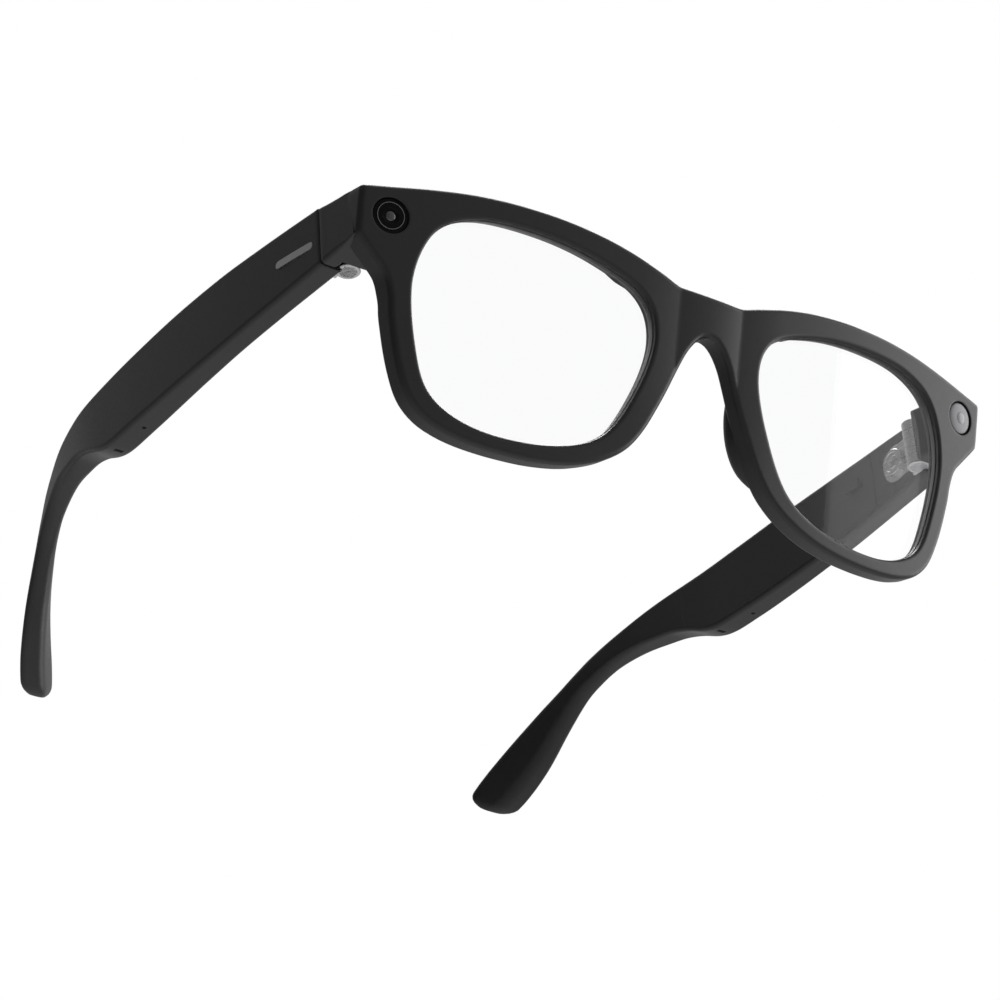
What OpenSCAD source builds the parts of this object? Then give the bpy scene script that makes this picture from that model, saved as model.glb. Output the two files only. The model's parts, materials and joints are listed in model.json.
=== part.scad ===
// Camera smart glasses, standing open on a table.
// Millimetres. X runs across the face to the wearer's left, Y from the front to the ears, Z up.
// Left and right are the wearer's. The origin is under the middle of the glasses, on the table.

/* [Lenses and front] */
// Width of one lens, measured in its groove
lens_w = 50; // [46:1:60]
// Height of one lens, measured in its groove
lens_h = 41.2; // [35:0.5:50]
// Gap between the two lenses, measured in their grooves
bridge_w = 22; // [18:1:27]
// How far the edge of a lens reaches into its groove
groove_d = 0.7; // [0.4:0.1:1]
// Thickness of a lens
lens_t = 1.8; // [1.2:0.1:2.2]
// How far a lens lies behind the front surface
lens_set = 1.3; // [1:0.1:1.6]
// Radius of the front's curve round the face
front_curve_r = 320; // [250:10:500]
// Thickness of the front
front_t = 4.4; // [4.2:0.1:6]
// Lean of the front's top away from the face
front_lean = 9.3; // [5:0.1:13]

/* [Rims and bridge] */
// Height of the brow above a lens
brow_band = 3.7; // [3:0.1:6]
// Width of a rim at its outer side
side_band = 3.8; // [3:0.1:6]
// Width of a rim under a lens
base_band = 2.7; // [2.2:0.1:4.5]
// Width of a rim at the nose
nose_band = 6; // [5:0.1:8]
// Height of the bridge's top edge above the camera's middle
bridge_top = 2.7; // [2:0.1:4]
// Height of the bridge, from its top edge to the arch over the nose
bridge_h = 6.5; // [5:0.1:9]
// Radius of the arch over the nose
arch_r = 3; // [1.5:0.1:4]

/* [End pieces] */
// How far an end piece reaches past its lens
end_w = 9.8; // [9:0.1:13]
// Height of an end piece at its outer edge
end_h = 8.9; // [8.2:0.1:11]
// Height of an end piece's top corner above the camera's middle
end_top = 4.5; // [4.1:0.1:5.5]
// How far behind the back of the front the hinge's axis lies
end_depth = 7.8; // [7.6:0.1:11.6]
// From an end piece's outer edge in to the camera's middle
eye_inset = 5.8; // [5:0.1:6.4]

/* [Hinges] */
// Radius of a hinge barrel
barrel_r = 2.2; // [2:0.1:2.5]
// Height of a hinge barrel
barrel_h = 9.8; // [8:0.1:11]
// Height of a hinge barrel's foot above the temple's bottom edge
barrel_foot = 0.7; // [0.3:0.1:1.2]
// Radius of a hinge pin
pin_r = 0.7; // [0.5:0.05:0.9]
// Thickness of the hinge leaves
leaf_t = 0.9; // [0.7:0.05:1.1]
// Running clearance between a pin and the temple's knuckles, and between knuckles
run_gap = 0.05; // [0.03:0.01:0.1]

/* [Temples] */
// From the hinge axis to the step behind the electronics
case_len = 78; // [74:1:96]
// Height of a temple at the hinge
temple_h = 12.5; // [12:0.1:15]
// Height of a temple at the step
case_h = 15.8; // [14.5:0.1:19]
// From the step to the end of the tip
ear_len = 59.5; // [48:0.5:72]
// How far the tip hangs below the temple's bottom edge
ear_drop = 16.6; // [12:0.1:21]
// Height of a temple behind the ear, at its thinnest
ear_h = 5.9; // [5:0.1:8]
// Thickness of a temple at the hinge
hinge_t = 4.9; // [4.7:0.1:6]
// Thickness of a temple at the speaker
case_t = 5.8; // [5.5:0.1:7]
// Thickness of a temple behind the ear
ear_t = 4.6; // [4:0.1:6]
// How far the temples spread outwards from the hinge to the speaker
spread = 3.6; // [1:0.1:5]
// How far the tips come in from the widest place
tip_in = 19.5; // [14:0.5:26]
// Outer wall of a temple
wall = 1; // [0.8:0.1:1.2]
// Thickness of a temple's inner cover
cover_t = 1.1; // [0.8:0.1:1.3]

/* [Camera and recording light] */
// Radius of the camera's bezel and of the light's recess
bezel_r = 3.6; // [3:0.1:3.8]
// Depth of the camera's bezel and of the light's recess
bezel_d = 1; // [0.8:0.1:1.1]
// Radius of the camera's window
window_r = 2.8; // [2.2:0.1:2.9]
// Radius of the light's window
light_r = 3.15; // [2.6:0.05:3.3]
// Radius of the camera's barrel and of the light guide
guide_r = 2.5; // [2:0.1:2.6]

/* [Controls] */
// Length of the capture button
button_len = 11; // [8:0.5:14]
// Width of the capture button
button_w = 1.8; // [1.4:0.1:1.9]
// From the hinge axis to the middle of the capture button
button_at = 26; // [24:1:34]
// Travel of the capture button
button_travel = 0.35; // [0.2:0.05:0.5]
// How far the capture button stands out of the temple
button_proud = 0.45; // [0.4:0.05:0.7]
// Travel of the power slider
slider_travel = 2; // [1.5:0.1:3]
// From the hinge axis to the middle of the power slider at rest
slider_at = 22; // [21:1:24]

/* [Hidden] */
$fn = 48;
// Steps of a whole turn on the cylinders that shape the front
CURVE_FN = 720;

CHARCOAL = "#303032";
BLACK = "#0c0c0e";
SILVER = "#c8c8ca";
GOLD = "#d0a850";
GREEN = "#1c5a38";

open_w = lens_w - 2 * groove_d;
open_h = lens_h - 2 * groove_d;
lens_x = (bridge_w + lens_w) / 2;
// Height of a lens's middle above the camera's middle
lens_z = brow_band + 1.1 - open_h / 2;
front_half = bridge_w / 2 + lens_w + end_w;
eye_x = front_half - eye_inset;
hinge_x = front_half - 5.6;

// Smooth curves through a few points
function bend(a, b, c, d, t) =
    0.5 * (2 * b + (c - a) * t + (2 * a - 5 * b + 4 * c - d) * t * t + (3 * b - a - 3 * c + d) * t * t * t);
function loop_curve(p, n = 6) = let (m = len(p))
    [for (i = [0:m - 1], k = [0:n - 1]) bend(p[(i + m - 1) % m], p[i], p[(i + 1) % m], p[(i + 2) % m], k / n)];
function line_curve(p, n = 4) = let (m = len(p) - 1)
    [for (i = [0:m - 1], k = [0:n - 1]) bend(p[max(i - 1, 0)], p[i], p[i + 1], p[min(i + 2, m)], k / n), p[m]];
function reversed(p) = [for (i = [len(p) - 1:-1:0]) p[i]];
function normal_at(p, i) = let (m = len(p), t = p[(i + 1) % m] - p[(i + m - 1) % m]) [t.y, -t.x] / norm(t);

// The lens opening, as shares of its half width and half height, from its outer side round over the top
LENS_SHAPE = [[1, 0.25], [0.86, 0.75], [0.53, 0.97], [0.01, 1], [-0.48, 0.91], [-0.88, 0.71], [-1, 0.34],
    [-0.885, -0.2], [-0.625, -0.73], [-0.19, -0.965], [0.38, -0.995], [0.765, -0.8], [0.926, -0.377]];
// How wide the rim is at each of those points
RIM_WIDTHS = [side_band, brow_band + 1.4, brow_band, brow_band, brow_band, nose_band, nose_band,
    nose_band - 0.8, (nose_band + base_band) / 2 - 0.4, base_band, base_band, (base_band + side_band) / 2,
    side_band];
opening_points = [for (s = LENS_SHAPE) [lens_x + s.x * open_w / 2, lens_z + s.y * open_h / 2]];
rim_points = [for (i = [0:len(LENS_SHAPE) - 1])
    opening_points[i] + RIM_WIDTHS[i] * normal_at(opening_points, i)];
rim_curve = loop_curve(rim_points);

// Depth of the front surface behind its middle, at a distance x from the middle
function set_back(x) = front_curve_r - sqrt(front_curve_r * front_curve_r - x * x);

// The front stands on its rims; the temples droop until their tips reach the table too
front_z = -min([for (p = rim_curve) p.y * cos(front_lean) + set_back(p.x) * sin(front_lean)]);
hinge_depth = set_back(eye_x) + front_t + end_depth;
hinge_drop = 7.7;
hinge_up = front_z + hinge_depth * sin(front_lean) - hinge_drop * cos(front_lean);
hinge_in = hinge_depth * cos(front_lean) + hinge_drop * sin(front_lean);

// Side view of a temple, from its front end face: distance behind the hinge axis, height above the bottom edge
end_gap = 0.3;
step_rise = case_h - ear_h - 1.8;
top_points = [[-end_gap, temple_h], [0.2 * case_len, temple_h + 0.5 * (case_h - temple_h)],
    [0.46 * case_len, case_h], [0.7 * case_len, case_h + 0.2], [case_len, case_h],
    [case_len + 0.14 * ear_len, case_h - 0.4], [case_len + 0.29 * ear_len, case_h - 1.5],
    [case_len + 0.46 * ear_len, case_h - 3.7], [case_len + 0.64 * ear_len, case_h - 0.29 * (case_h + ear_drop)],
    [case_len + 0.83 * ear_len, case_h - 0.59 * (case_h + ear_drop)],
    [case_len + 0.965 * ear_len, case_h - 0.81 * (case_h + ear_drop)]];
tip_points = [[case_len + ear_len, -0.82 * ear_drop], [case_len + 0.985 * ear_len, -0.92 * ear_drop],
    [case_len + 0.94 * ear_len, -ear_drop], [case_len + 0.875 * ear_len, -0.955 * ear_drop]];
bottom_points = [[-end_gap, 0], [0.35 * case_len, 0], [0.7 * case_len, 0.5], [case_len - 9, 1.3],
    [case_len - 5, 2.5], [case_len + 1, 5.2 / 8.1 * step_rise], [case_len + 7, 7.2 / 8.1 * step_rise],
    [case_len + 14, step_rise], [case_len + 0.31 * ear_len, step_rise + 0.3],
    [case_len + 0.48 * ear_len, step_rise - 1.7], [case_len + 0.6 * ear_len, step_rise - 0.2 * (step_rise + ear_drop)],
    [case_len + 0.74 * ear_len, step_rise - 0.62 * (step_rise + ear_drop)]];
side_curve = line_curve(concat(top_points, tip_points, reversed(bottom_points)));
tip_end = case_len + ear_len;

// Plan of a temple: distance behind the hinge axis, distance out from the object's middle
wide_x = front_half + 0.5 + spread;
outer_points = [[-4, wide_x - spread - 0.4], [0, wide_x - spread], [0.13 * case_len, wide_x - 0.68 * spread],
    [0.4 * case_len, wide_x - 0.25 * spread], [0.75 * case_len, wide_x], [case_len, wide_x - 0.02 * tip_in],
    [case_len + 0.22 * ear_len, wide_x - 0.15 * tip_in], [case_len + 0.45 * ear_len, wide_x - 0.32 * tip_in],
    [case_len + 0.75 * ear_len, wide_x - 0.6 * tip_in], [tip_end + 0.5, wide_x - tip_in]];
thickness_points = [[-4, hinge_t], [0.4 * case_len, hinge_t + 0.1], [0.75 * case_len, case_t], [case_len, case_t],
    [case_len + 0.25 * ear_len, ear_t + 0.3], [case_len + 0.5 * ear_len, ear_t + 0.4], [tip_end + 0.5, ear_t + 1.4]];
outer_curve = line_curve(outer_points, 5);
thickness_curve = line_curve(thickness_points, 5);
function outer_at(y) = lookup(y, outer_curve);
function inner_at(y) = lookup(y, outer_curve) - lookup(y, thickness_curve);

function droop_to(p) = asin(hinge_up / norm(p)) - atan2(-p.y, p.x);
temple_droop = min([for (p = side_curve) if (p.x > case_len) droop_to(p)]);

// The glasses' middle lies over the origin
front_reach = max([for (p = rim_curve) p.y * sin(front_lean) - set_back(p.x) * cos(front_lean)]);
back_reach = hinge_in + max([for (p = side_curve) p.x * cos(temple_droop) + p.y * sin(temple_droop)]);
front_y = (front_reach - back_reach) / 2;

// Frames: the front's own (X across, Y back from its surface, Z up its plane) and a temple's own
// (Y back along its bottom edge from the hinge axis, Z up)
module at_front() translate([0, front_y, front_z]) rotate([front_lean, 0, 0]) children();
module at_temple() translate([0, front_y + hinge_in, hinge_up]) rotate([-temple_droop, 0, 0]) children();
module right_hand() mirror([1, 0, 0]) children();
module at_eye() translate([eye_x, set_back(eye_x), 0]) rotate([0, 0, asin(eye_x / front_curve_r)]) children();
// A round bar from depth a to depth b behind the front surface
module bar(r, a, b) translate([0, a, 0]) rotate([-90, 0, 0]) cylinder(r = r, h = b - a);

// --- Front ---
module lens_opening(grow = 0) offset(delta = grow) polygon(loop_curve(opening_points));

module end_outline() polygon([[lens_x + 0.53 * open_w / 2, lens_z + open_h / 2 + brow_band - 0.6],
    [front_half - 11.5, end_top + 2.1], [front_half - 5, end_top + 0.95], [front_half, end_top],
    [front_half - 0.2, end_top - end_h], [front_half - 3.6, end_top - end_h - 3.7],
    [front_half - 7.3, end_top - end_h - 9.8], [lens_x + 0.9 * open_w / 2, lens_z]]);

module bridge_outline() polygon([[-10, bridge_top + 0.5], [-6.5, bridge_top], [6.5, bridge_top],
    [10, bridge_top + 0.5], [9, bridge_top - bridge_h], [-9, bridge_top - bridge_h]]);

module front_outline() offset(r = -arch_r) offset(delta = arch_r) {
    bridge_outline();
    for (side = [0, 1]) mirror([side, 0]) {
        polygon(rim_curve);
        end_outline();
    }
}

// What lies between depths a and b behind the front surface, inside a front-view outline
module curved(a, b) intersection() {
    translate([0, 60, 0]) rotate([90, 0, 0]) linear_extrude(64) children();
    translate([0, front_curve_r, -60]) difference() {
        cylinder(r = front_curve_r - a, h = 120, $fn = CURVE_FN);
        translate([0, 0, -1]) cylinder(r = front_curve_r - b, h = 122, $fn = CURVE_FN);
    }
}

// The wiring channel along the brow, as a band of a given width round its middle line
brow_line = line_curve([for (p = [[eye_x - 6, 3.9], [lens_x + 0.53 * open_w / 2, 0], [lens_x, 0],
    [lens_x - 0.48 * open_w / 2, -1.9], [lens_x - 0.8 * open_w / 2, -5], [0, 0]])
    p.x == 0 ? [0, bridge_top - 1.7]
    : p.x > lens_x + 0.6 * open_w / 2 ? [p.x, end_top - 1.6]
    : [p.x, lens_z + open_h / 2 + brow_band / 2 + p.y]]);
brow_across = concat(brow_line, [for (p = reversed(brow_line)) if (p.x > 0) [-p.x, p.y]]);
module brow_band_outline(w)
    polygon(concat([for (p = brow_across) p + [0, w / 2]], [for (p = reversed(brow_across)) p - [0, w / 2]]));

channel_w = 1.2;
strip_w = 2;
strip_t = 0.8;
carrier_w = 9;
carrier_h = 2;
carrier_t = 0.9;
carrier_z = bridge_top - 4.9;
mic_size = [2.2, 0.9, 1.4];
mic_x = carrier_w / 2 + 2;
contact_x = 2.6;
// Room in an end piece behind the camera or the light: its height, its depth behind the front, the depth
// under the front surface at which it ends, and the clearance round what it holds
pocket_h = 6.1;
pocket_depth = 2.8;
pocket_back = front_t + pocket_depth;
pocket_gap = 0.2;

module carrier_block(grow = 0) translate([-carrier_w / 2 - grow, front_t - carrier_t, carrier_z - grow])
    cube([carrier_w + 2 * grow, carrier_t + 0.25, carrier_h + 2 * grow]);
module nose_mic_block() translate([mic_x - mic_size.x / 2, front_t - mic_size.y, carrier_z + 0.3])
    cube([mic_size.x, mic_size.y + 0.2, mic_size.z]);

module front_frame() color(CHARCOAL) at_front() difference() {
    curved(0, front_t) difference() {
        front_outline();
        for (side = [0, 1]) mirror([side, 0]) lens_opening();
    }
    for (side = [0, 1]) mirror([side, 0, 0]) {
        curved(lens_set, lens_set + lens_t) lens_opening(groove_d);
        at_eye() bar(bezel_r, -2, bezel_d);
        at_eye() bar(guide_r, -2, front_t + 2);
    }
    curved(front_t - strip_t - 0.6, front_t + 0.01) brow_band_outline(channel_w);
    curved(front_t - strip_t, front_t + 0.01) brow_band_outline(strip_w);
    carrier_block();
    nose_mic_block();
}

module brow_cover() color(CHARCOAL) at_front()
    curved(front_t - strip_t, front_t) brow_band_outline(strip_w);

module front_flex() color("#b06a28") at_front()
    curved(front_t - strip_t - 0.35, front_t - strip_t - 0.1) brow_band_outline(channel_w - 0.2);

module lens() color("#e8eef280") at_front() curved(lens_set, lens_set + lens_t) lens_opening(groove_d);

// --- End piece: the housing behind the front that carries the hinge ---
seat_y = -barrel_r - 0.4;
seat_x = hinge_x + barrel_r + 0.25;
housing_x = hinge_x - barrel_r - 0.5;

module housing_plan() polygon([[housing_x, -18], [front_half, -18], [front_half, -13.2],
    [outer_at(-end_gap), -end_gap - 0.12], [seat_x, -end_gap - 0.12], [seat_x, seat_y], [housing_x, seat_y]]);
housing_slope = tan(front_lean + temple_droop);
module housing_side() polygon([[-18, 0], [seat_y - 0.5, 0], [0, 0], [0, temple_h - 0.2],
    [-18, temple_h - 0.2 - 18 * housing_slope * 0.97]]);

module leaf_seat() translate([hinge_x - barrel_r, seat_y - leaf_t, barrel_foot])
    cube([2 * barrel_r, leaf_t + 0.01, barrel_h]);

pocket_x = [housing_x + 0.9, front_half - 1.1];
module eye_pocket_block() translate([pocket_x[0], set_back(eye_x) + front_t - 2, -pocket_h / 2])
    cube([pocket_x[1] - pocket_x[0], pocket_depth + 2, pocket_h]);
// A block in that room, from depth a to depth b behind the front surface
module pocket_part(a, b) translate([pocket_x[0] + pocket_gap, set_back(eye_x) + a, pocket_gap - pocket_h / 2])
    cube([pocket_x[1] - pocket_x[0] - 2 * pocket_gap, b - a, pocket_h - 2 * pocket_gap]);

module endpiece_housing() color(CHARCOAL) difference() {
    intersection() {
        at_temple() intersection() {
            linear_extrude(20) housing_plan();
            rotate([90, 0, 90]) linear_extrude(100) housing_side();
        }
        at_front() translate([0, front_curve_r, -60]) cylinder(r = front_curve_r - front_t, h = 120, $fn = CURVE_FN);
    }
    at_front() eye_pocket_block();
    at_temple() leaf_seat();
    at_temple() front_leaf_screw_bars();
}

// --- Camera, on the right ---
module camera_bezel() color(BLACK) at_front() right_hand() at_eye() difference() {
    bar(bezel_r, 0.25, bezel_d);
    bar(window_r + 0.25, -1, bezel_d + 1);
}
module camera_ring() color("#77777a") at_front() right_hand() at_eye() difference() {
    bar(window_r + 0.25, 0.1, bezel_d);
    bar(window_r, -1, bezel_d + 1);
}
module camera_window() color("#101014") at_front() right_hand() at_eye() bar(window_r, 0.2, 0.9);
module camera_barrel() color(BLACK) at_front() right_hand() at_eye() difference() {
    bar(guide_r - 0.1, bezel_d + 0.1, front_t - 0.4);
    bar(0.65, 0, bezel_d + 1.1);
}
module camera_module() color("#2a2a2c") at_front() right_hand()
    pocket_part(front_t + 1.4, pocket_back - pocket_gap);

// --- Recording light, on the left ---
module light_gasket() color(BLACK) at_front() at_eye() difference() {
    bar(bezel_r, 0.5, bezel_d);
    bar(light_r, -1, bezel_d + 1);
}
module light_window() color("#9a9aa2") at_front() at_eye() bar(light_r, 0.15, bezel_d);
module light_guide() color("#f0f0f0") at_front() at_eye() bar(guide_r - 0.1, bezel_d + 0.05, front_t - 0.4);
module light_board() color(GREEN) at_front() pocket_part(pocket_back - 1, pocket_back - pocket_gap);

// --- Bridge ---
module contact_carrier() color(BLACK) at_front() difference() {
    carrier_block();
    for (x = [-contact_x, contact_x]) translate([x, 0, carrier_z + carrier_h / 2]) bar(0.7, 0, front_t + 1);
}
module charge_contacts() color(GOLD) at_front() for (x = [-contact_x, contact_x])
    translate([x, 0, carrier_z + carrier_h / 2]) bar(0.7, front_t - carrier_t, front_t + 0.35);
module nose_microphone() color("#404044") at_front() nose_mic_block();

// A rounded pad behind the nose side of the rim: three balls joined, and cut to sit on the rim's back
pad_balls = [[-4, 0.3, 0.34, 2], [-2.2, 2.3, -0.1, 2.4], [2.6, 0.6, -0.6, 2.1]];
module nose_pad() color(CHARCOAL) at_front() intersection() {
    hull() for (b = pad_balls)
        translate([bridge_w / 2 + b.x, front_t + b.y, lens_z + b.z * open_h / 2]) sphere(r = b[3], $fn = 24);
    translate([0, front_curve_r, -60]) cylinder(r = front_curve_r - front_t, h = 120, $fn = CURVE_FN);
}

// --- Hinge ---
knuckles = 5;
knuckle_pitch = (barrel_h + run_gap) / knuckles;
module knuckle(i) translate([hinge_x, 0, barrel_foot + i * knuckle_pitch])
    cylinder(r = barrel_r, h = knuckle_pitch - run_gap);
head_r = pin_r + 0.6;
head_h = 0.7;
module pin_hole(r) translate([hinge_x, 0, barrel_foot - 1]) cylinder(r = r, h = barrel_h + 2);
module head_hole() translate([hinge_x, 0, barrel_foot + barrel_h - head_h - run_gap])
    cylinder(r = head_r + run_gap, h = 2);

front_screw_r = 0.55;
module front_leaf_screw_bars(r = front_screw_r) for (z = [0.3, 0.7])
    translate([hinge_x - barrel_r + 0.9, seat_y - 2.6, barrel_foot + z * barrel_h])
        rotate([-90, 0, 0]) cylinder(r = r, h = 2.6);

module front_leaf() color(SILVER) at_temple() difference() {
    union() {
        for (i = [1, 3]) {
            knuckle(i);
            translate([hinge_x - 1.1, seat_y - 0.01, barrel_foot + i * knuckle_pitch])
                cube([2.2, barrel_r, knuckle_pitch - run_gap]);
        }
        translate([hinge_x - barrel_r, seat_y - leaf_t, barrel_foot]) cube([2 * barrel_r, leaf_t, barrel_h]);
    }
    pin_hole(pin_r);
    front_leaf_screw_bars();
}
module front_leaf_screws() color("#a8a8aa") at_temple() front_leaf_screw_bars();

module hinge_pin() color("#b8b8ba") at_temple() translate([hinge_x, 0, barrel_foot]) {
    cylinder(r = pin_r, h = barrel_h - head_h);
    translate([0, 0, barrel_h - head_h]) cylinder(r = head_r, h = head_h);
}

// --- Temples ---
module side_outline(inset = 0) offset(delta = -inset) polygon(side_curve);
module side_window(y0, z0, y1, z1) translate([y0, z0]) square([y1 - y0, z1 - z0]);

// Plan of the band between a lateral lines: a and b count from the inner face, and where b is negative
// it counts in from the outer face
band_ys = [for (p = outer_curve) if (p.x > -4.1) p.x];
module band_plan(a, b) polygon(concat([for (y = band_ys) [inner_at(y) + a, y]],
    [for (y = reversed(band_ys)) [b < 0 ? outer_at(y) + b : b == 0 ? outer_at(y) : inner_at(y) + b, y]]));

// The part of that band inside a side-view outline
module band(a, b) intersection() {
    translate([0, 0, -ear_drop - 10]) linear_extrude(60) band_plan(a, b);
    rotate([90, 0, 90]) linear_extrude(front_half + 40) children();
}

case_front = 16.5;
case_back = case_len + 1.5;
lip = 0.8;
leaf_out = 0.35;
leaf_end = 11.5;
boss = [8, 6.6];
boss_r = 2.8;

module cavity_outline() intersection() {
    side_outline(wall + 0.3);
    side_window(case_front, -5, case_back, 30);
}
module cover_outline() intersection() {
    side_outline(lip);
    side_window(case_front - 1, -5, case_back + 1, 30);
}
module leaf_outline() difference() {
    union() {
        side_window(barrel_r + 0.35, 2.6, boss.x, barrel_foot + barrel_h - 0.4);
        translate(boss) circle(r = 3.9);
    }
    side_window(-5, -5, barrel_r + 0.35, 20);
}

pill_y = button_at;
module button_pill(grow) hull() for (s = [-1, 1])
    translate([(outer_at(pill_y) + inner_at(pill_y)) / 2 + 0.05, pill_y + s * (button_len - button_w) / 2])
        circle(r = button_w / 2 + grow);
function top_at(y) = lookup(y, line_curve(top_points, 5));
flange_top = top_at(pill_y) - wall - 1.1;
flange_h = 0.6;

mic_y = case_len - 17.5;
mic_x_at = (inner_at(mic_y) + outer_at(mic_y)) / 2;
grille_y = case_len - 8.4;
module grille_window() side_window(grille_y - 2.6, -2, grille_y + 2.6, 2.9);
module grille_band() band(case_t / 2 - 1, case_t / 2 + 0.8) intersection() {
    side_outline();
    grille_window();
}
inlay = [10.5, 1.5];
module inlay_outline() translate([6.8, temple_h / 2 - 0.2]) rotate(8) hull() for (s = [-1, 1])
    translate([s * (inlay.x - inlay.y) / 2, 0]) circle(d = inlay.y);

module shell_body() difference() {
    band(0, 0) side_outline();
    band(cover_t, -wall) cavity_outline();
    band(-1, cover_t) cover_outline();
    band(-1, leaf_t - leaf_out) leaf_outline();
    translate([hinge_x, 0, -1]) cylinder(r = barrel_r + 0.15, h = temple_h + 3);
    translate([hinge_x, -0.15, barrel_foot - 0.15]) cube([3.2, barrel_r + 1, barrel_h + 0.3]);
    grille_band();
    translate([mic_x_at, mic_y, -1]) cylinder(r = 0.4, h = 4);
    leaf_screw_bars();
    difference() {
        rotate([90, 0, 90]) linear_extrude(front_half + 40) inlay_outline();
        translate([0, 0, -ear_drop - 10]) linear_extrude(60) band_plan(-60, -0.3);
    }
}

module temple_shell_left() color(CHARCOAL) at_temple() shell_body();
module temple_shell_right() color(CHARCOAL) right_hand() at_temple() difference() {
    shell_body();
    translate([0, 0, flange_top - 0.01]) linear_extrude(8) button_pill(0.1);
    translate([0, 0, flange_top - 2.5]) linear_extrude(2.5) button_pill(0.35);
}

module cover_body() color(CHARCOAL) at_temple() band(0, cover_t) cover_outline();
module temple_cover_right() right_hand() cover_body();
slot_w = 1.2;
slider_z = 9.2;
module temple_cover_left() color(CHARCOAL) difference() {
    cover_body();
    at_temple() band(-1, cover_t + 1) side_window(slider_at - stem_l / 2 - 0.1, slider_z - slot_w / 2,
        slider_at + slider_travel + stem_l / 2 + 0.1, slider_z + slot_w / 2);
}

module leaf_screw_bars() {
    translate([inner_at(boss.x) - leaf_out - 0.5, boss.x, boss.y]) rotate([0, 90, 0]) cylinder(r = 0.9, h = 2.6);
    translate([inner_at(4) - leaf_out - 0.1, 4.2, boss.y]) rotate([0, 90, 0]) cylinder(r = 0.5, h = 2.2);
}
module temple_leaf() color(SILVER) at_temple() difference() {
    union() {
        for (i = [0, 2, 4]) {
            knuckle(i);
            translate([hinge_x + 0.9, 0, barrel_foot + i * knuckle_pitch])
                cube([1.3, barrel_r + 0.6, knuckle_pitch - run_gap]);
        }
        band(-leaf_out, leaf_t - leaf_out) leaf_outline();
        translate([inner_at(boss.x) - leaf_out - 0.5, boss.x, boss.y]) rotate([0, 90, 0])
            cylinder(r = boss_r, h = 0.7);
    }
    pin_hole(pin_r + run_gap);
    head_hole();
    leaf_screw_bars();
}
module leaf_screws() color("#a8a8aa") at_temple() leaf_screw_bars();

module speaker() color("#38383c") at_temple() band(cover_t + 0.15, -wall - 0.15)
    side_window(case_len - 15, 5.6, case_len - 4.5, 12.8);
module speaker_grille() color("#18181a") at_temple() grille_band();
module microphone() color("#b0a070") at_temple() band(cover_t + 0.4, -wall - 0.4)
    side_window(mic_y - 1.6, 2.3, mic_y + 1.0, 3.5);
module antenna() color("#c08040") at_temple() band(cover_t + 0.3, cover_t + 0.7)
    side_window(0.46 * case_len, case_h - 2.9, case_len - 18, case_h - 1.7);
module inlay_body() color(SILVER) at_temple() intersection() {
    translate([0, 0, -ear_drop - 10]) linear_extrude(60) difference() {
        band_plan(0, 0);
        band_plan(-60, -0.3);
    }
    rotate([90, 0, 90]) linear_extrude(front_half + 40) inlay_outline();
}

// --- Right temple's electronics ---
board_z = [3, 11.2];
module main_board() color(GREEN) right_hand() at_temple() band(cover_t + 0.3, cover_t + 0.9)
    side_window(case_front + 3, board_z[0], case_len - 20, board_z[1]);
module processor_shield() color("#b8b8bc") right_hand() at_temple() band(cover_t + 0.9, cover_t + 1.9)
    side_window(case_front + 20, board_z[0] + 1, case_front + 33, board_z[1] - 1);
module touch_sensor() color("#b06a28") right_hand() at_temple() band(hinge_t - wall - 0.35, hinge_t - wall - 0.15)
    side_window(case_front + 3, board_z[0], case_front + 17, board_z[1] - 1.5);
module capture_button() color("#3c3c3e") right_hand() at_temple() intersection() {
    union() {
        translate([0, 0, flange_top]) linear_extrude(8) button_pill(0);
        translate([0, 0, flange_top - flange_h]) linear_extrude(flange_h) button_pill(0.25);
    }
    rotate([90, 0, 90]) linear_extrude(front_half + 40) side_outline(-button_proud);
}
switch_top = flange_top - flange_h - button_travel - 0.1;
module button_switch() color("#909094") right_hand() at_temple()
    translate([inner_at(pill_y) + cover_t + 0.5, pill_y - 2, board_z[1]]) cube([1.9, 4, switch_top - board_z[1]]);

// --- Left temple's electronics ---
module battery() color("#5a5e66") at_temple() band(cover_t + 0.2, cover_t + 2.2)
    side_window(case_front + 18, 2.2, case_len - 20, 12.4);
module power_board() color(GREEN) at_temple() band(cover_t + 1.4, cover_t + 2)
    side_window(case_front + 2, 3, case_front + 16, 11.2);
module power_switch() color("#909094") at_temple() band(cover_t + 0.5, cover_t + 1.4)
    side_window(slider_at - 2, slider_z - 1.4, slider_at + slider_travel + 2, slider_z + 1.4);
knob = [0.6, 3.8, 1.8];
knob_gap = 0.3;
stem_l = 2;
module power_slider() color("#3c3c3e") at_temple() translate([inner_at(slider_at), slider_at, slider_z]) {
    translate([-knob_gap - knob.x, -knob.y / 2, -knob.z / 2]) cube(knob);
    translate([-knob_gap - 0.01, -stem_l / 2, 0.1 - slot_w / 2]) cube([cover_t + knob_gap + 0.2, stem_l, slot_w - 0.2]);
}

front_frame();
brow_cover();
right_hand() endpiece_housing();  // endpiece_housing_right
endpiece_housing();  // endpiece_housing_left
right_hand() lens();  // lens_right
lens();  // lens_left
right_hand() nose_pad();  // nose_pad_right
nose_pad();  // nose_pad_left
camera_bezel();
camera_ring();
camera_window();
camera_barrel();
camera_module();
light_gasket();
light_window();
light_guide();
light_board();
contact_carrier();
charge_contacts();
front_flex();
nose_microphone();
right_hand() front_leaf();  // front_leaf_right
front_leaf();  // front_leaf_left
right_hand() front_leaf_screws();  // front_leaf_screws_right
front_leaf_screws();  // front_leaf_screws_left
right_hand() hinge_pin();  // hinge_pin_right
hinge_pin();  // hinge_pin_left
temple_shell_right();
temple_cover_right();
right_hand() temple_leaf();  // temple_leaf_right
right_hand() leaf_screws();  // leaf_screws_right
main_board();
processor_shield();
touch_sensor();
right_hand() speaker();  // speaker_right
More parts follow.
